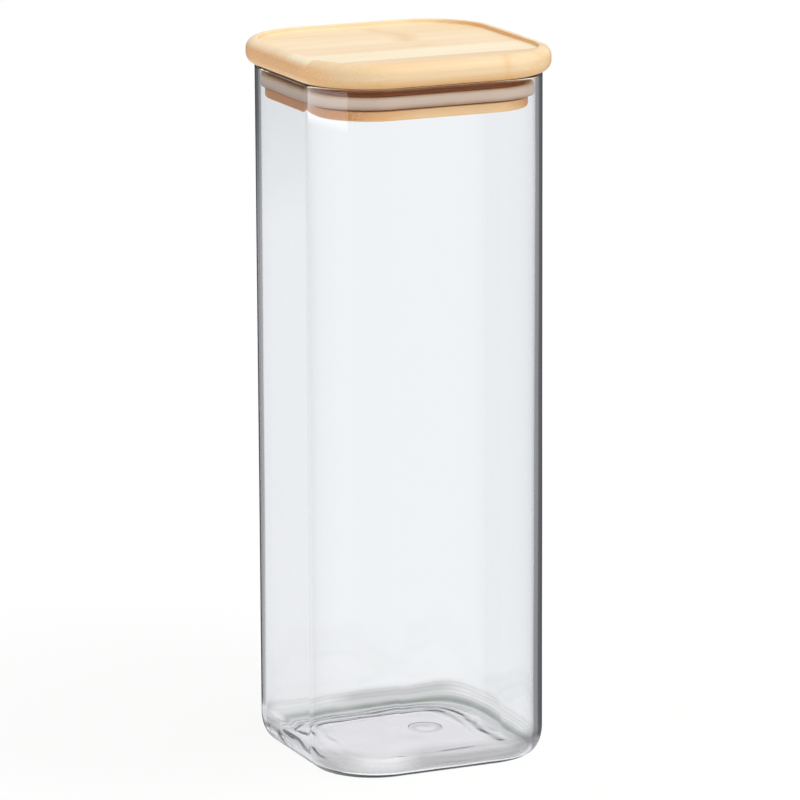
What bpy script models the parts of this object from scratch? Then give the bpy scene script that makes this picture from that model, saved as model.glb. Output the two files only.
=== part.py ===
"""Square glass storage jar with a bamboo lid and a silicone seal.

Sizes are in metres. The jar stands on the XY plane with the middle of its foot at the origin.
Its flat sides face along X and Y, and the lid lifts off along +Z.
"""
import math

import bmesh
import bpy

# Glass jar
glass_width = 0.100         # across the flat sides, outside
glass_height = 0.278
glass_corner = 0.028        # outside radius of the upright corners
glass_wall = 0.0028
base_thickness = 0.002      # blown as thin as the walls
base_rise = 0.0014          # how far the middle of the base arches up off the table
base_land = 0.0025          # flat ring that the jar stands on
base_slope = 0.0135         # run of the slope from that ring up to the arch
foot_reach = 0.006          # the foot's rounding, in from the side
foot_height = 0.0105        # and up from the table
foot_thickness = 0.0020     # glass over the ring that the jar stands on
rim_round = 0.0011
mark_radius = 0.0068        # round moulding mark in the floor
mark_depth = 0.0002
mark_place = (0.0129, 0.0049)

# Bamboo board
board_overhang = 0.0035     # past the glass on each side
board_thickness = 0.010
board_round = 0.0042        # bullnose radius of the upper and lower edge
border_flat = 0.0004        # flat border between the bullnose and the sunk field
recess_depth = 0.0018
recess_round = 0.0005       # of the field's upper and lower edge

# Bamboo plug under the board
flange_height = 0.0045
flange_clearance = 0.003    # from the flange to the inside of the glass
flange_round = 0.0009
neck_depth = 0.0015         # how far the neck lies behind the flange's side
neck_reveal = 0.0038        # bare neck between the seal and the board

# Silicone seal
seal_height = 0.005
seal_clearance = 0.0003     # running gap to the inside of the glass
seal_round = 0.0013

# Fits and fineness
seat_gap = 0.0003           # between pieces that rest on or are glued to each other
least_corner = 0.001
corner_steps = 12           # facets round each upright corner
round_steps = 6             # along the large roundings
foot_steps = 8              # round the jar's foot
edge_steps = 3              # along the small ones


def clear_scene():
    for item in list(bpy.data.objects):
        bpy.data.objects.remove(item, do_unlink=True)


def arc(inset, height, radius, first, last, steps):
    """Points of a rounding as (inset, height), from one angle to another about its centre."""
    points = []
    for step in range(steps + 1):
        angle = math.radians(first + (last - first) * step / steps)
        points.append((inset + radius * math.cos(angle), height + radius * math.sin(angle)))
    return points


def slope(inset, height, run, rise, steps):
    """Points of a soft slope, level at both ends, as (inset, height)."""
    points = []
    for step in range(steps + 1):
        share = (1 - math.cos(math.pi * step / steps)) / 2
        points.append((inset + run * step / steps, height + rise * share))
    return points


def foot_curve(first, last, steps):
    """Points of a quarter turn from straight down the side to level, between two (inset, height) points."""
    points = []
    for step in range(steps + 1):
        angle = math.radians(90 * step / steps)
        inset = last[0] + (first[0] - last[0]) * math.cos(angle)
        points.append((inset, first[1] + (last[1] - first[1]) * math.sin(angle)))
    return points


def square_ring(half, corner, height):
    """Points round a square with round corners, anticlockwise from the +X side."""
    radius = max(corner, least_corner)
    points = []
    for quarter, (side_x, side_y) in enumerate(((1, 1), (-1, 1), (-1, -1), (1, -1))):
        for step in range(corner_steps + 1):
            angle = math.radians(90 * (quarter + step / corner_steps))
            x = side_x * (half - radius) + radius * math.cos(angle)
            y = side_y * (half - radius) + radius * math.sin(angle)
            points.append((x, y, height))
    return points


def sweep(name, half, corner, profile, ring_shaped=False):
    """A solid whose skin follows a profile of (inset, height) points round a square of this half width."""
    bm = bmesh.new()
    rings = []
    for inset, height in profile:
        rings.append([bm.verts.new(point) for point in square_ring(half - inset, corner - inset, height)])
    followers = rings[1:] + rings[:1] if ring_shaped else rings[1:]
    for low, high in zip(rings, followers):
        for i, vert in enumerate(low):
            bm.faces.new((low[i - 1], vert, high[i], high[i - 1]))
    if not ring_shaped:
        bm.faces.new(rings[0])
        bm.faces.new(rings[-1])
    return add_object(name, bm)


def add_object(name, bm):
    bmesh.ops.recalc_face_normals(bm, faces=bm.faces)
    if bm.calc_volume(signed=True) < 0:
        bmesh.ops.reverse_faces(bm, faces=bm.faces)
    mesh = bpy.data.meshes.new(name)
    bm.to_mesh(mesh)
    bm.free()
    mesh.shade_smooth()
    mesh.set_sharp_from_angle(angle=math.radians(32))
    item = bpy.data.objects.new(name, mesh)
    bpy.context.scene.collection.objects.link(item)
    return item


def paint(item, colour, roughness, transmission=0.0, ior=1.5):
    material = bpy.data.materials.new(item.name)
    material.use_nodes = True
    shader = material.node_tree.nodes["Principled BSDF"]
    shader.inputs["Base Color"].default_value = (*colour, 1.0)
    shader.inputs["Roughness"].default_value = roughness
    shader.inputs["Metallic"].default_value = 0.0
    shader.inputs["Transmission Weight"].default_value = transmission
    shader.inputs["IOR"].default_value = ior
    item.data.materials.append(material)


clear_scene()

# Heights and half widths that several pieces share
glass_half = glass_width / 2
mouth_half = glass_half - glass_wall
mouth_corner = glass_corner - glass_wall
floor_level = base_rise + base_thickness
flange_half = mouth_half - flange_clearance
flange_corner = mouth_corner - flange_clearance
neck_half = flange_half - neck_depth
seal_half = mouth_half - seal_clearance
seal_corner = mouth_corner - seal_clearance
seal_width = seal_half - neck_half - seat_gap
plug_depth = flange_height + seat_gap + seal_height + neck_reveal

# Glass jar: one profile runs from the arched underside round the foot, up the outside,
# over the rim, down the inside, round the bowl and up to the middle of the floor.
rim = min(rim_round, 0.45 * glass_wall)
arch_reach = foot_reach + base_land + base_slope
jar_profile = slope(foot_reach + base_land, 0, base_slope, base_rise, edge_steps)[::-1]
jar_profile += foot_curve((0, foot_height), (foot_reach, 0), foot_steps)[::-1]
jar_profile += arc(rim, glass_height - rim, rim, 180, 90, edge_steps)
jar_profile += arc(glass_wall - rim, glass_height - rim, rim, 90, 0, edge_steps)
bowl_reach = max(foot_reach, glass_wall + least_corner)
jar_profile += foot_curve((glass_wall, foot_height), (bowl_reach, foot_thickness), foot_steps)
jar_profile += slope(bowl_reach, foot_thickness, arch_reach - bowl_reach, floor_level - foot_thickness, edge_steps)[1:]
glass_jar = sweep("glass_jar", glass_half, glass_corner, jar_profile)
paint(glass_jar, (0.96, 0.98, 0.98), 0.02, transmission=1.0, ior=1.47)

# The shallow round mark that the mould leaves in the floor
bm = bmesh.new()
bmesh.ops.create_uvsphere(bm, u_segments=24, v_segments=9, radius=mark_radius)
bmesh.ops.scale(bm, vec=(1, 1, mark_depth / mark_radius), verts=bm.verts)
floor_mark = add_object("floor_mark_cutter", bm)
floor_mark.location = (*mark_place, floor_level + 0.1 * mark_depth)
floor_mark.hide_render = True
floor_mark.display_type = "WIRE"
cut = glass_jar.modifiers.new("floor_mark", "BOOLEAN")
cut.operation = "DIFFERENCE"
cut.solver = "EXACT"
cut.object = floor_mark

# The lid's pieces hang on one empty on the line along which the lid lifts,
# at the height of the board's underside.
lid = bpy.data.objects.new("lid", None)
lid.location = (0, 0, glass_height + seat_gap)
bpy.context.scene.collection.objects.link(lid)

# Bamboo board: bullnose edge, flat border, then down into the sunk field
bullnose = min(board_round, 0.48 * board_thickness)
soft_edge = min(recess_round, 0.45 * recess_depth)
field_inset = bullnose + border_flat + soft_edge
board_profile = arc(bullnose, bullnose, bullnose, 270, 180, round_steps)
board_profile += arc(bullnose, board_thickness - bullnose, bullnose, 180, 90, round_steps)
field_level = board_thickness - recess_depth
board_profile += arc(field_inset - soft_edge, board_thickness - soft_edge, soft_edge, 90, 0, edge_steps)
board_profile += arc(field_inset + soft_edge, field_level + soft_edge, soft_edge, 180, 270, edge_steps)
lid_board = sweep("lid_board", glass_half + board_overhang, glass_corner + board_overhang, board_profile)
lid_board.parent = lid
paint(lid_board, (0.91, 0.70, 0.45), 0.45)

# Bamboo plug: the flange below, and the neck up to the board
flange_edge = min(flange_round, 0.45 * flange_height)
plug_profile = arc(flange_edge, flange_edge, flange_edge, 270, 180, edge_steps)
plug_profile += arc(flange_edge, flange_height - flange_edge, flange_edge, 180, 90, edge_steps)
plug_profile += [(neck_depth, flange_height), (neck_depth, plug_depth - seat_gap)]
lid_plug = sweep("lid_plug", flange_half, flange_corner, plug_profile)
lid_plug.parent = lid
lid_plug.location = (0, 0, -plug_depth)
paint(lid_plug, (0.80, 0.53, 0.29), 0.5)

# Silicone seal: a band round the neck that rests on the flange and fills the mouth
seal_edge = min(seal_round, 0.45 * seal_height, 0.45 * seal_width)
seal_profile = arc(seal_edge, seal_edge, seal_edge, 270, 180, edge_steps)
seal_profile += arc(seal_edge, seal_height - seal_edge, seal_edge, 180, 90, edge_steps)
seal_profile += [(seal_width, seal_height), (seal_width, 0)]
seal_ring = sweep("seal_ring", seal_half, seal_corner, seal_profile, ring_shaped=True)
seal_ring.parent = lid
seal_ring.location = (0, 0, flange_height + seat_gap - plug_depth)
paint(seal_ring, (0.62, 0.58, 0.52), 0.4, transmission=0.3, ior=1.41)
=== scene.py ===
import math

import bmesh
import bpy
from mathutils import Matrix, Vector, noise


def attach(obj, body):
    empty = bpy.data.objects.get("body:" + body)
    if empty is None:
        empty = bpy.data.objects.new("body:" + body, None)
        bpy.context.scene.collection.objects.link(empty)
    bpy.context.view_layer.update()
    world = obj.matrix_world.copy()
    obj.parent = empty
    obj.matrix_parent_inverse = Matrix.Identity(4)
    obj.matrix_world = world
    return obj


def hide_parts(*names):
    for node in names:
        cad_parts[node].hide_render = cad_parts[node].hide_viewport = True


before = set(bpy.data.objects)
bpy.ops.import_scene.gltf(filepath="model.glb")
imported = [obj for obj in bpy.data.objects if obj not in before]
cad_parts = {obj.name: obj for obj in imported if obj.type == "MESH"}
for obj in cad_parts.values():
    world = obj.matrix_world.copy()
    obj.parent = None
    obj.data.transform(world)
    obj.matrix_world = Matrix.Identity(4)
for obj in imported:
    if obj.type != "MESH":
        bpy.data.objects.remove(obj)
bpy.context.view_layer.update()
for name in ("Cube", "Light", "Camera"):
    if name in bpy.data.objects:
        bpy.data.objects.remove(bpy.data.objects[name])

# Glass jar
# One clear body of borosilicate glass, blown in a square mould: wide round corners, a fire-polished
# rim, a thin base that arches up off the table, and the mould's small round mark in its floor.
glass_width, glass_height, glass_corner, glass_wall = 0.100, 0.278, 0.028, 0.0028
foot_reach, foot_height = 0.0060, 0.0105
land_reach, arch_reach, arch_height = 0.0085, 0.0220, 0.0014
bowl_reach, bowl_height, bowl_level, floor_level = 0.0060, 0.0105, 0.0020, 0.0034
rim_round = 0.0011
mark_radius, mark_depth, mark_x, mark_y = 0.0068, 0.00015, 0.0129, 0.0049


class Socket:
    """A shader output that takes part in Python arithmetic."""

    def __init__(self, tree, output):
        self.tree, self.output = tree, output

    def maths(self, operation, *values):
        return node(self.tree, "ShaderNodeMath", {"operation": operation}, dict(enumerate(values)))

    def __add__(self, other):
        return self.maths("ADD", self, other)

    def __sub__(self, other):
        return self.maths("SUBTRACT", self, other)

    def __rsub__(self, other):
        return self.maths("SUBTRACT", other, self)

    def __mul__(self, other):
        return self.maths("MULTIPLY", self, other)

    def __truediv__(self, other):
        return self.maths("DIVIDE", self, other)

    __radd__, __rmul__ = __add__, __mul__

    def above(self, level):
        return self.maths("GREATER_THAN", self, level)

    def absolute(self):
        return self.maths("ABSOLUTE", self)

    def sine(self):
        return self.maths("SINE", self)

    def to_the(self, power):
        return self.maths("POWER", self, power)

    def clamped(self):
        return node(self.tree, "ShaderNodeClamp", inputs={0: self})

    def rise(self, start, run):
        """From 0 at the start to 1 after the run, or the other way round where the run is negative."""
        return ((self - start) / run).clamped()

    def hump(self, middle, spread):
        """1 at the middle, down to 0 at the spread on either side."""
        return (1 - (self - middle).absolute() / spread).clamped()


def node(tree, kind, settings=None, inputs=None, output=0):
    """Adds a node: its settings first, then the values or links of its sockets."""
    made = tree.nodes.new(kind)
    for key, value in (settings or {}).items():
        if key == "stops":
            elements = made.color_ramp.elements
            while len(elements) < len(value):
                elements.new(1.0)
            for element, (place, colour) in zip(elements, value):
                element.position = place
                element.color = (*colour, 1.0)
        elif key == "ramp":
            made.color_ramp.interpolation = value
        else:
            setattr(made, key, value)
    for key, value in (inputs or {}).items():
        if isinstance(value, Socket):
            tree.links.new(value.output, made.inputs[key])
        else:
            made.inputs[key].default_value = value
    return Socket(tree, made.outputs[output]) if made.outputs else None


def mix(tree, share, under, over, **settings):
    """A colour between two others. Colours are links, or (red, green, blue)."""
    under, over = (value if isinstance(value, Socket) else (*value, 1.0) for value in (under, over))
    return node(tree, "ShaderNodeMix", {"data_type": "RGBA", **settings}, {0: share, 6: under, 7: over}, output=2)


def object_place(tree):
    """The place on the piece as a vector, and its x, y and z."""
    place = node(tree, "ShaderNodeTexCoord", output="Object")
    return place, *(node(tree, "ShaderNodeSeparateXYZ", inputs={0: place}, output=axis) for axis in "XYZ")


def new_tree(name):
    """A material with an empty node tree."""
    material = bpy.data.materials.new(name)
    material.use_nodes = True
    material.node_tree.nodes.clear()
    return material, material.node_tree


def start(name, kind, **place):
    """Adds a primitive and opens it in edit mode with nothing selected."""
    bpy.ops.object.select_all(action="DESELECT")
    getattr(bpy.ops.mesh, "primitive_" + kind + "_add")(**place)
    piece = bpy.context.object
    piece.name = piece.data.name = name
    bpy.ops.object.transform_apply(location=True, rotation=True, scale=True)
    bpy.ops.object.mode_set(mode="EDIT")
    bpy.ops.mesh.select_all(action="DESELECT")
    return piece


def pick(piece, what, test):
    """Selects the verts, edges or faces that pass a test, and nothing else."""
    bpy.ops.mesh.select_mode(type={"verts": "VERT", "edges": "EDGE", "faces": "FACE"}[what])
    bpy.ops.mesh.select_all(action="DESELECT")
    bm = bmesh.from_edit_mesh(piece.data)
    for item in getattr(bm, what):
        item.select_set(bool(test(item)))
    bm.select_flush_mode()
    bmesh.update_edit_mesh(piece.data)


def at_level(item, level):
    return all(abs(vert.co.z - level) < 1e-5 for vert in item.verts)


def upright(edge):
    return (edge.verts[0].co - edge.verts[1].co).normalized().z ** 2 > 0.99


def depth_in(place, half, radius):
    """How far a point or an edge lies inside a square outline with round corners, in plan."""
    if isinstance(place, bmesh.types.BMEdge):
        return max(depth_in(vert.co, half, radius) for vert in place.verts)
    over_x, over_y = abs(place.x) - (half - radius), abs(place.y) - (half - radius)
    if over_x > 0 and over_y > 0:
        return radius - math.hypot(over_x, over_y)
    return half - max(abs(place.x), abs(place.y))


def dress(piece, body, material, slot, *nodes):
    """Smooth shading that keeps the flats flat, then the material and what the piece stands for."""
    bpy.ops.object.mode_set(mode="OBJECT")
    bpy.ops.object.shade_smooth()
    even = piece.modifiers.new("even_shading", "WEIGHTED_NORMAL")
    even.keep_sharp = True
    bpy.ops.object.modifier_apply(modifier=even.name)
    piece.data.materials.clear()
    piece.data.materials.append(material)
    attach(piece, body)
    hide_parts(*nodes)


def square_block(name, half, corner, low, high, steps=30):
    """A square block with round upright corners, open in edit mode."""
    block = start(name, "cube", size=1, location=(0, 0, (low + high) / 2), scale=(2 * half, 2 * half, high - low))
    pick(block, "edges", upright)
    bpy.ops.mesh.bevel(offset=corner, segments=steps, profile=0.5, affect="EDGES")
    return block


def quarter(reach_1, level_1, reach_2, level_2, steps=12):
    """Points of a rounding that starts straight down and ends level."""
    turns = [math.pi / 2 * step / steps for step in range(steps + 1)]
    return [(reach_2 + (reach_1 - reach_2) * math.cos(turn), level_1 + (level_2 - level_1) * math.sin(turn))
            for turn in turns]


def swell(reach_1, level_1, reach_2, level_2, steps=8):
    """Points of a slope that starts and ends level."""
    shares = [(1 - math.cos(math.pi * step / steps)) / 2 for step in range(steps + 1)]
    return [(reach_1 + (reach_2 - reach_1) * step / steps, level_1 + (level_2 - level_1) * share)
            for step, share in enumerate(shares)]


def close_in(profile, facing):
    """Insets the selected face again and again along points of (distance in from the side, height)."""
    for (reach_1, level_1), (reach_2, level_2) in zip(profile, profile[1:]):
        if abs(reach_2 - reach_1) + abs(level_2 - level_1) > 1e-7:
            bpy.ops.mesh.inset(thickness=reach_2 - reach_1, depth=(level_2 - level_1) * facing)


jar = square_block("jar_glass", glass_width / 2, glass_corner, foot_height, glass_height)
pick(jar, "faces", lambda f: f.normal.z > 0.9)
bpy.ops.mesh.inset(thickness=glass_wall, depth=0)
bpy.ops.mesh.extrude_region_move(TRANSFORM_OT_translate={"value": (0, 0, bowl_height - glass_height)})
inside = quarter(glass_wall, bowl_height, bowl_reach, bowl_level)
close_in(inside + swell(bowl_reach, bowl_level, arch_reach, floor_level), 1)
pick(jar, "faces", lambda f: f.normal.z < -0.9 and at_level(f, foot_height))
underside = quarter(0, foot_height, foot_reach, 0)
close_in(underside + swell(land_reach, 0, arch_reach, arch_height), -1)
pick(jar, "edges", lambda e: at_level(e, glass_height) and any(abs(f.normal.z) < 0.5 for f in e.link_faces))
bpy.ops.mesh.bevel(offset=rim_round, segments=5, profile=0.5, affect="EDGES")

# cuts across the walls, which carry the slight unevenness of blown glass
cut_start, cut_step, cut_count = 0.011, 0.019, 13
for cut in range(1, cut_count + 1):
    bpy.ops.mesh.select_all(action="SELECT")
    bpy.ops.mesh.bisect(plane_co=(0, 0, cut_start + cut * cut_step), plane_no=(0, 0, 1))
bpy.ops.object.mode_set(mode="OBJECT")

# the mould's mark: a circle is scored in the floor, and its face is sunk ring by ring into a soft dimple
score_depth, score_length = 1e-5, 0.002
score = start("mark_cutter", "cylinder", vertices=64, radius=mark_radius, depth=score_length,
              location=(mark_x, mark_y, floor_level - score_depth + score_length / 2))
bpy.ops.object.mode_set(mode="OBJECT")
bpy.ops.object.select_all(action="DESELECT")
bpy.context.view_layer.objects.active = jar
scored = jar.modifiers.new("mark", "BOOLEAN")
scored.operation, scored.solver, scored.object = "DIFFERENCE", "EXACT", score
bpy.ops.object.modifier_apply(modifier=scored.name)
bpy.data.objects.remove(score)
jar.select_set(True)
bpy.ops.object.mode_set(mode="EDIT")
pick(jar, "faces", lambda f: f.normal.z > 0.9 and 0 < floor_level - f.calc_center_median().z < 2 * score_depth
     and f.calc_area() < 1.1 * math.pi * mark_radius ** 2)
close_in(swell(0, 0, 0.96 * mark_radius, -mark_depth, 12), 1)
bpy.ops.object.mode_set(mode="OBJECT")

# the inside lies a little off centre towards its floor, the walls grow thinner there, and they wave slightly
inside_drift, drift_height, wall_thinning = Vector((-0.0007, 0.0003)), 0.24, 0.0004
wavy_from, wavy_to, wavy_fade, wave_height = 0.02, 0.255, 0.02, 0.00012
waves_across, waves_up, inside_offset, outside_share = 22, 14, 5, 0.4
for vert in jar.data.vertices:
    place = vert.co.copy()
    sideways = Vector((place.x, place.y)).normalized()
    depth = depth_in(place, glass_width / 2, glass_corner)
    if depth > glass_wall - 0.0002 and place.z > floor_level - 0.001:
        share = 1 - min(max(place.z, 0) / drift_height, 1)
        vert.co.xy += inside_drift * share + sideways * wall_thinning * share ** 2
    if wavy_from < place.z < wavy_to:
        fade = min((place.z - wavy_from) / wavy_fade, (wavy_to - place.z) / wavy_fade, 1)
        inside = depth > glass_wall / 2
        up = place.z * waves_up + inside_offset * inside
        wave = noise.noise(Vector((place.x * waves_across, place.y * waves_across, up)))
        vert.co.xy += sideways * wave * wave_height * fade * (1.0 if inside else outside_share)

glass, tree = new_tree("jar_clear_glass")
place, x, y, z = object_place(tree)
# reach: distance from the middle line, measured square with round corners. path: the way along the skin.
reach = (x.absolute().to_the(5) + y.absolute().to_the(5)).to_the(0.2)
path = reach + z
# slow unevenness all over, with rings and a soft lump where the glass gathered at the foot, most at the back
slow = node(tree, "ShaderNodeMapping", inputs={"Vector": place, "Scale": (1.0, 1.0, 0.35)})
ripple = node(tree, "ShaderNodeTexNoise", inputs={"Vector": slow, "Scale": 38.0, "Detail": 1.0})
rough = node(tree, "ShaderNodeTexNoise", inputs={"Vector": place, "Scale": 45.0, "Detail": 1.0})
rings_per_metre, ring_wander = 1150, 9.0
ripple_height, ring_height, rough_height, lump_height = 0.06, 0.10, 0.20, 0.7
rings = (reach * rings_per_metre + (rough - 0.5) * ring_wander).sine() * reach.rise(0.024, 0.010)
lump = path.hump(0.053, 0.011)
lump = lump * lump * (3 - 2 * lump)
gathering = (y.rise(-0.02, 0.03) * 1.2 + 0.25) * (1 - x.rise(0.015, 0.020) * 0.6)
waves = z.rise(0.013, -0.006) * (rings * gathering * ring_height + (rough - 0.5) * rough_height)
waves = (waves + lump * gathering * lump_height) * (x + y).rise(-0.070, 0.030)
lie = node(tree, "ShaderNodeBump", inputs={
    "Height": ripple * ripple_height + waves, "Strength": 1.0, "Distance": 0.001})

# painted reflection: grey and dark bands along the skin of the foot stand for what refraction and mirroring in the
# thick glass show there; the slight green in them is the glass's own tint. Most on two of its sides
glass_colour, ramp_start, ramp_run = (0.980, 0.990, 1.0), 0.0295, 0.030
gather = node(tree, "ShaderNodeTexNoise", inputs={"Vector": place, "Scale": 20.0, "Detail": 2.0})
streak = node(tree, "ShaderNodeTexNoise", inputs={"Vector": place, "Scale": 60.0, "Detail": 1.0})
along = (path + (gather - 0.5) * 0.0035 - ramp_start) / ramp_run


def tones(*stops):
    """Ramp stops from (distance along the skin from the middle of the floor in mm, grey, green)."""
    bands = [((place - 30) / 30, (grey, grey + green, grey + green * 0.4)) for place, grey, green in stops]
    return bands + [(0.98, glass_colour)]


foot_tint_and_painted_dark_lines = node(tree, "ShaderNodeValToRGB", {"stops": tones(
    (30, 0.93, -0.02), (40, 0.95, -0.01), (42.6, 0.98, 0), (43.6, 0.60, 0.02), (44.6, 0.82, 0.02), (46.2, 0.74, 0.02),
    (47.6, 0.40, 0.02), (49.2, 0.34, 0.03), (50.6, 0.56, 0.02), (51.6, 0.60, 0.02), (52.5, 0.97, 0), (53.4, 0.72, 0),
    (54.6, 0.92, 0), (56.0, 0.90, 0), (57.0, 0.68, 0.01), (58.0, 0.90, 0))}, {0: along})
foot_tint_and_painted_soft_greys = node(tree, "ShaderNodeValToRGB", {"stops": tones(
    (30, 0.95, -0.02), (38, 0.95, -0.01), (43, 0.80, 0.01), (50, 0.76, 0.01), (54, 0.86, 0), (56, 0.94, 0),
    (57.2, 0.84, 0))}, {0: along})
body = mix(tree, (0.45 + x * 9 + y * 9 + (streak - 0.5) * 0.8).clamped(), foot_tint_and_painted_soft_greys, foot_tint_and_painted_dark_lines)
# painted shade: soft grey banks painted in the rounding of three sides, for the dark refraction seen there:
# (towards the side, along it, where it starts and ends along it, its middle and spread on the path, depth)
bank_painted_grey, bank_inset, bank_edge, bank_fade = (0.36, 0.35, 0.36), 0.034, 0.008, 0.012
for towards, beside, first, last, middle, spread, depth in (
        (0 - y, x, -0.024, 0.060, 0.0540, 0.0065, 0.78),
        (0 - x, y, -0.060, 0.060, 0.0545, 0.0065, 0.55),
        (y, x, -0.012, 0.048, 0.0548, 0.0040, 0.55)):
    painted_bank = towards.rise(bank_inset, bank_edge) * beside.rise(first, bank_fade) * beside.rise(last, -bank_fade)
    body = mix(tree, painted_bank * (path + (gather - 0.5) * 0.005).hump(middle, spread) * depth, body, bank_painted_grey)
# painted reflection: the rim is painted in the colour of the wood over it, which it mirrors; painted shade: the edge
# of the mould's mark is painted grey where refraction darkens it
rim_reflection_band, rim_painted_reflection, mark_painted_shade_grey = 0.0018, (1.0, 0.88, 0.76), (0.25, 0.25, 0.26)
body = mix(tree, z.above(glass_height - rim_reflection_band), body, rim_painted_reflection)
away = ((x - mark_x).to_the(2) + (y - mark_y).to_the(2)).to_the(0.5)
ring_middle, ring_spread, ring_depth = 0.0054, 0.0022, 0.35
body = mix(tree, away.hump(ring_middle, ring_spread) * (foot_height - z).above(0) * ring_depth, body, mark_painted_shade_grey)
clear = node(tree, "ShaderNodeBsdfPrincipled", inputs={
    "Base Color": body, "Roughness": 0.0, "IOR": 1.47, "Transmission Weight": 1.0, "Normal": lie})
# lamps shine through the glass as through air that takes a little of their light
shadow = node(tree, "ShaderNodeLightPath", output="Is Shadow Ray")
through = node(tree, "ShaderNodeBsdfTransparent", inputs={"Color": (0.98, 0.98, 0.98, 1)})
surface = node(tree, "ShaderNodeMixShader", inputs={0: shadow, 1: clear, 2: through})
tint = node(tree, "ShaderNodeVolumeAbsorption", inputs={"Color": (0.89, 0.93, 0.945, 1), "Density": 16.0})
node(tree, "ShaderNodeOutputMaterial", inputs={"Surface": surface, "Volume": tint})
bpy.context.view_layer.objects.active = jar
dress(jar, "jar", glass, "clear_glass", "glass_jar")
# light that has bounced off the lid passes the glass as freely as the lamps' light does
jar.visible_diffuse = False

# Bamboo plug
# Glued-up bamboo under the board: a flange that keeps the seal on, turned in above it to a neck.
# The neck lies in the shade of the board, and that shade is painted into its colour as dark brown.
seat_gap, plug_depth = 0.0003, 0.0136
board_under, plug_top = glass_height + seat_gap, glass_height
flange_half, flange_corner, flange_height, flange_round, neck_depth = 0.0442, 0.0222, 0.0045, 0.0009, 0.0015
flange_foot = board_under - plug_depth
flange_top = flange_foot + flange_height


def bamboo(name, strips, dark, knot, end_grain, pores, knots, roughness, turn):
    """Laminated bamboo with its grain along X: strips with tones of their own, fibres, knots and end grain.

    strips are (seam, colour), knots are (middle, first and last place across, width, depth), and turn
    says from how far round towards X the end grain shows.
    """
    material, tree = new_tree(name)
    place, x, y, z = object_place(tree)
    low, high = -0.055, 0.055
    seams = [((seam - low) / (high - low), colour) for seam, colour in strips]
    pale = node(tree, "ShaderNodeValToRGB", {"stops": seams, "ramp": "CONSTANT"}, {0: (y - low) / (high - low)})
    deep = mix(tree, 1.0, pale, dark, blend_type="MULTIPLY")
    fine, broad, wide = (node(tree, "ShaderNodeMapping", inputs={"Vector": place, "Scale": scale})
                         for scale in ((22, 1500, 1500), (7, 240, 240), (18, 60, 60)))
    fibres = node(tree, "ShaderNodeTexNoise", inputs={"Vector": fine, "Scale": 1.0, "Detail": 2.0, "Roughness": 0.6})
    bands = node(tree, "ShaderNodeTexNoise", inputs={"Vector": broad, "Scale": 1.0, "Detail": 2.0})
    patches = node(tree, "ShaderNodeTexNoise", inputs={"Vector": wide, "Scale": 1.0, "Detail": 1.0})
    shade = (fibres - 0.5) * 1.1 + (bands - 0.5) * 0.9 + (patches - 0.5) * 0.8 + 0.66
    streaked = mix(tree, shade, deep, pale, clamp_factor=True)
    mark = 0.0
    for middle, first, last, width, depth in knots:
        near = (x + (patches - 0.5) * 0.012).hump(middle, width)
        mark = near * y.above(first) * (1 - y.above(last)) * depth + mark
    knotted = mix(tree, mark, streaked, knot, clamp_factor=True)
    normal = node(tree, "ShaderNodeNewGeometry", output="Normal")
    facing = node(tree, "ShaderNodeSeparateXYZ", inputs={0: normal}, output="X")
    speckle = mix(tree, (fibres - 0.38) * 4.0, pores, end_grain, clamp_factor=True)
    colour = mix(tree, (facing * facing).rise(turn, 0.52) * 0.95, knotted, speckle)
    relief = node(tree, "ShaderNodeBump", inputs={"Height": fibres, "Strength": 0.25, "Distance": 0.0002})
    wood = node(tree, "ShaderNodeBsdfPrincipled", inputs={
        "Base Color": colour, "Roughness": (bands - 0.5) * 0.15 + roughness, "Normal": relief,
        "Specular IOR Level": 0.35})
    return material, tree, wood, colour, z


plug = square_block("plug_bamboo", flange_half, flange_corner, flange_foot, flange_top)
pick(plug, "faces", lambda f: f.normal.z > 0.9)
bpy.ops.mesh.inset(thickness=neck_depth, depth=0)
bpy.ops.mesh.extrude_region_move(TRANSFORM_OT_translate={"value": (0, 0, plug_top - flange_top)})
pick(plug, "edges", lambda e: (at_level(e, flange_foot) or at_level(e, flange_top))
     and depth_in(e, flange_half, flange_corner) < 1e-4)
bpy.ops.mesh.bevel(offset=flange_round, segments=4, profile=0.5, affect="EDGES")
plug_strips = [(-0.055, (1.0, 0.69, 0.38)), (-0.038, (0.96, 0.66, 0.36)), (-0.019, (1.0, 0.70, 0.39)),
               (0.0, (0.98, 0.67, 0.37)), (0.019, (1.0, 0.70, 0.39)), (0.038, (0.98, 0.68, 0.37))]
plug_material, tree, wood, colour, z = bamboo(
    "plug_bamboo", plug_strips, dark=(0.90, 0.80, 0.68), knot=(0.92, 0.50, 0.20), end_grain=(0.84, 0.39, 0.155),
    pores=(0.60, 0.24, 0.078), knots=[(-0.024, -0.046, -0.036, 0.016, 0.8)], roughness=0.5, turn=0.02)
# painted shade: a shadow painted along the flange's top edge under the seal, and the neck painted dark brown for the
# board's shade
seal_shadow_colour, neck_shade_colour = (0.50, 0.30, 0.18), (0.48, 0.20, 0.07)
flange_painted_shadow = mix(tree, z.rise(flange_top - 0.0008, 0.0004), colour, seal_shadow_colour, blend_type="MULTIPLY")
plug_painted_shade = mix(tree, z.above(flange_top + 0.0002), flange_painted_shadow, neck_shade_colour)
tree.links.new(plug_painted_shade.output, wood.output.node.inputs["Base Color"])
node(tree, "ShaderNodeOutputMaterial", inputs={"Surface": wood})
dress(plug, "lid", plug_material, "bamboo_plug", "lid_plug")
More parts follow.
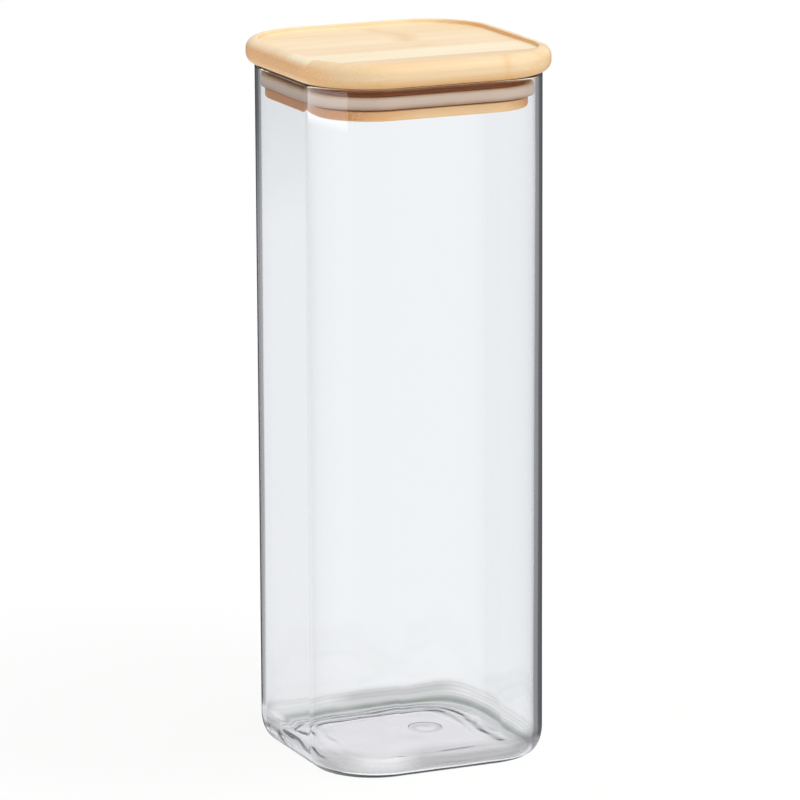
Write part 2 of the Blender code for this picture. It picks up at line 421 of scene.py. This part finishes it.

# Silicone seal
# A soft moulded band that is stretched over the neck and rests on the flange. It presses against
# the inside of the glass and is cloudy white, so the bamboo behind it shows through a little. Its darkening to brown
# towards its foot is painted shade.
seal_half, seal_corner, seal_height, seal_width, seal_round = 0.0469, 0.0249, 0.005, 0.0039, 0.0013
seal_foot = flange_top + seat_gap
seal = square_block("seal_silicone", seal_half, seal_corner, seal_foot, seal_foot + seal_height)
pick(seal, "faces", lambda f: abs(f.normal.z) > 0.9)
bpy.ops.mesh.inset(thickness=seal_width, depth=0)
bpy.ops.mesh.bridge_edge_loops()
pick(seal, "edges", lambda e: abs(e.verts[0].co.z - e.verts[1].co.z) < 1e-6
     and depth_in(e, seal_half, seal_corner) < 1e-4)
bpy.ops.mesh.bevel(offset=seal_round, segments=5, profile=0.5, affect="EDGES")
seal_material, tree = new_tree("seal_cloudy_silicone")
place, x, y, z = object_place(tree)
cloud = node(tree, "ShaderNodeTexNoise", inputs={"Vector": place, "Scale": 90.0, "Detail": 2.0})
# painted shade: the seal grows darker and browner towards its foot, where it lies in shade over the flange
seal_painted_shade_tones = [(0.0, (0.36, 0.22, 0.13)), (0.16, (0.54, 0.38, 0.27)), (0.36, (0.68, 0.54, 0.44)),
              (0.80, (0.75, 0.62, 0.51)), (1.0, (0.80, 0.69, 0.59))]
height = (z - seal_foot) / seal_height
tone = node(tree, "ShaderNodeValToRGB", {"stops": seal_painted_shade_tones}, {0: height + (cloud - 0.5) * 0.25})
rubber = node(tree, "ShaderNodeBsdfPrincipled", inputs={
    "Base Color": tone, "Roughness": 0.38 + (cloud - 0.5) * 0.1, "IOR": 1.41})
node(tree, "ShaderNodeOutputMaterial", inputs={"Surface": rubber})
dress(seal, "lid", seal_material, "silicone", "seal_ring")

# Bamboo board
# The top of the lid, glued up from strips of bamboo some 19 mm wide that run along X. Its edge is
# a bullnose all round, and its top was milled down inside a narrow border. Oiled, not varnished.
board_half, board_corner, board_thickness, board_round = 0.0535, 0.0315, 0.010, 0.0042
border_width, recess_depth, recess_round = 0.0009, 0.0018, 0.0005
board_top, field_reach = board_under + board_thickness, board_round + border_width
board = square_block("board_bamboo", board_half, board_corner, board_under, board_top)
pick(board, "edges", lambda e: at_level(e, board_under) or at_level(e, board_top))
bpy.ops.mesh.bevel(offset=board_round, segments=10, profile=0.5, affect="EDGES")
pick(board, "faces", lambda f: f.normal.z > 0.99 and at_level(f, board_top) and len(f.verts) > 8)
bpy.ops.mesh.inset(thickness=border_width, depth=0)
bpy.ops.mesh.extrude_region_move(TRANSFORM_OT_translate={"value": (0, 0, -recess_depth)})
pick(board, "edges", lambda e: (at_level(e, board_top) or at_level(e, board_top - recess_depth))
     and abs(depth_in(e, board_half, board_corner) - field_reach) < 2e-4)
bpy.ops.mesh.bevel(offset=recess_round, segments=4, profile=0.5, affect="EDGES")
board_strips = [(-0.055, (0.89, 0.68, 0.43)), (-0.0305, (1.0, 0.90, 0.68)), (-0.0120, (0.96, 0.77, 0.52)),
                (0.0070, (0.98, 0.80, 0.55)), (0.0260, (0.96, 0.77, 0.51)), (0.0440, (0.98, 0.80, 0.54))]
board_knots = [(0.0095, 0.007, 0.026, 0.007, 0.80), (0.0075, 0.026, 0.044, 0.006, 0.60),
               (0.007, -0.0048, -0.0030, 0.006, 1.0), (0.0255, -0.054, -0.0475, 0.0025, 0.9)]
board_material, tree, wood, colour, z = bamboo(
    "board_bamboo", board_strips, dark=(0.91, 0.80, 0.63), knot=(0.86, 0.58, 0.30), end_grain=(1.0, 0.60, 0.29),
    pores=(0.89, 0.49, 0.215), knots=board_knots, roughness=0.42, turn=0.42)
# painted shade: the lower half of the edge is darker and more orange, as less light reaches it from below
edge_shade_colour = (0.92, 0.70, 0.41)
edge_shade_share = z.rise(board_under + board_round, -board_round)
edge_painted_shade = mix(tree, edge_shade_share, colour, edge_shade_colour, blend_type="MULTIPLY")
tree.links.new(edge_painted_shade.output, wood.output.node.inputs["Base Color"])
node(tree, "ShaderNodeOutputMaterial", inputs={"Surface": wood})
dress(board, "lid", board_material, "bamboo_board", "lid_board")

# Studio
# A white floor that takes the shadow, a soft lamp from above, and a white surround. What mirrors
# in the glass is a darker room with one tall bright panel, because only that gives glass its edges.
def ray_kinds(tree):
    """How a ray has come: (mirrored at all, how many glass skins it has crossed, scattered off something)."""
    seen = 0
    for name in ("Is Camera Ray", "Is Glossy Ray", "Is Transmission Ray"):
        seen = node(tree, "ShaderNodeLightPath", output=name) + seen
    mirrors, crossings, bounces = (node(tree, "ShaderNodeLightPath", output=name) for name in (
        "Glossy Depth", "Transmission Depth", "Diffuse Depth"))
    return mirrors.above(0.5), crossings, (bounces + (1 - seen)).above(0.5)


world = bpy.data.worlds.new("studio")
bpy.context.scene.world = world
world.use_nodes = True
tree = world.node_tree
tree.nodes.clear()
mirrored, crossings, scattered = ray_kinds(tree)
direction = node(tree, "ShaderNodeTexCoord", output="Generated")
dx, dy, dz = (node(tree, "ShaderNodeSeparateXYZ", inputs={0: direction}, output=axis) for axis in "XYZ")
# the parts of the room by direction, with the azimuth from +Y towards -X in degrees: the panel, which fades out
# above the horizon and ends just under the lid's level, then what is beside it, above, beyond and below
azimuth = (0 - dx).maths("ARCTAN2", 0 - dx, dy) * (180 / math.pi)
panel_from, panel_to, panel_foot, panel_tilt, panel_blur = 38, 121, -0.1697, -0.0017, 0.0025
edge = (azimuth - panel_from) * (panel_tilt / (panel_to - panel_from)) + panel_foot
panel = azimuth.above(panel_from) * (1 - azimuth.above(panel_to))
panel = panel * (dz - edge).rise(-panel_blur, panel_blur) * dz.rise(0.10, -0.15)
side = azimuth.above(0) * (1 - azimuth.above(panel_from)) * dz.rise(-0.1707, -0.02)
overhead = dz.rise(0, 0.2) * dy.rise(-0.2, -0.2)
beyond = dz.rise(0, 0.2) * dy.rise(0, 0.2)
down = dz.rise(-0.33, -0.05)
# what a ray sees that was mirrored inside a wall: darker towards the sides, lighter above and straight below
turn = (0 - azimuth + 364).maths("MODULO", 0 - azimuth + 364, 90.0)
walls = (turn.above(56) * 0.20 + 0.16) * (1 - down) + down * 1.3 + dz.rise(-0.15, 0.15) * 0.6
# what a ray sees that has crossed the jar's inside: a soft sweep from the floor up
sweep_greys = ((0.0, 0.7), (0.48, 0.7), (0.53, 0.95), (0.60, 0.78), (0.64, 0.76), (0.72, 1.0), (0.85, 0.6))
sweep_stops = [(place, (grey, grey, grey)) for place, grey in sweep_greys]
sweep = node(tree, "ShaderNodeSeparateXYZ", inputs={
    0: node(tree, "ShaderNodeValToRGB", {"stops": sweep_stops}, {0: dz * 0.5 + 0.5})})
entered, left = crossings.above(0.5), crossings.above(2.5)
outside = panel * 3.0 + side * 0.7 + overhead * 1.1 + beyond * 0.9 + down * 0.8 + 0.05
room = (1 - entered) * outside + entered * (1 - left) * (walls + overhead * 0.6) + left * sweep
# the light on the lid: a soft dome, brighter from the low side windows in front
window = (dx * 0.33 - dy * 0.94).rise(0.25, 0.35) * dz.absolute().rise(0.60, -0.25)
dome = window * 0.74 + 0.51
straight = 1 - 0.5 * entered * dz.rise(0.1, 0.3)
strength = scattered * dome + (1 - scattered) * ((1 - mirrored) * straight + mirrored * room)
tone = mix(tree, mirrored * (1 - scattered), (1, 1, 1), (0.96, 0.965, 1.0))
sky = node(tree, "ShaderNodeBackground", inputs={"Color": tone, "Strength": strength})
node(tree, "ShaderNodeOutputWorld", inputs={"Surface": sky})

floor_size, floor_drop, floor_glow = 60, 0.0002, 0.645
bpy.ops.object.select_all(action="DESELECT")
bpy.ops.mesh.primitive_plane_add(size=floor_size, location=(0, 0, -floor_drop))
ground = bpy.context.object
ground.name = "studio_floor"
ground_material, tree = new_tree("studio_floor_white")
mirrored, crossings, scattered = ray_kinds(tree)
seen_grey, lighting_grey = (0.34, 0.34, 0.34), (0.85, 0.85, 0.85)
matt = node(tree, "ShaderNodeBsdfDiffuse", inputs={"Color": mix(tree, scattered, seen_grey, lighting_grey)})
glow = node(tree, "ShaderNodeEmission", inputs={"Color": (1, 1, 1, 1), "Strength": (1 - scattered) * floor_glow})
white = node(tree, "ShaderNodeAddShader", inputs={0: matt, 1: glow})
# what the glass mirrors is the room and not this floor
gone = node(tree, "ShaderNodeBsdfTransparent", inputs={"Color": (1, 1, 1, 1)})
surface = node(tree, "ShaderNodeMixShader", inputs={0: mirrored * (1 - scattered), 1: white, 2: gone})
node(tree, "ShaderNodeOutputMaterial", inputs={"Surface": surface})
ground.data.materials.append(ground_material)

key = bpy.data.lights.new("key_lamp", "SUN")
key.energy, key.angle = math.pi * 0.52, math.radians(45)
key_object = bpy.data.objects.new("key_lamp", key)
bpy.context.scene.collection.objects.link(key_object)
key_object.rotation_mode = "QUATERNION"
key_object.rotation_quaternion = Vector((0.25, -0.30, 0.92)).to_track_quat("Z", "Y")
key_object.visible_glossy = False
key_object.visible_transmission = False

camera_data = bpy.data.cameras.new("camera")
camera = bpy.data.objects.new("camera", camera_data)
bpy.context.scene.collection.objects.link(camera)
bpy.context.scene.camera = camera
camera_data.sensor_width, camera_data.lens = 36, 242.92
heading, pitch, roll = math.radians(23.944), math.radians(12.867), math.radians(-0.288)
distance, height, sideways = 2.1128, 0.6251, 0.0002
stand = Matrix.Translation((sideways * math.cos(heading) - distance * math.sin(heading),
                            -sideways * math.sin(heading) - distance * math.cos(heading), height))
aim = Matrix.Rotation(-heading, 4, "Z") @ Matrix.Rotation(math.radians(90) - pitch, 4, "X")
camera.matrix_world = stand @ aim @ Matrix.Rotation(roll, 4, "Z")

bpy.context.scene.view_settings.view_transform = "Standard"
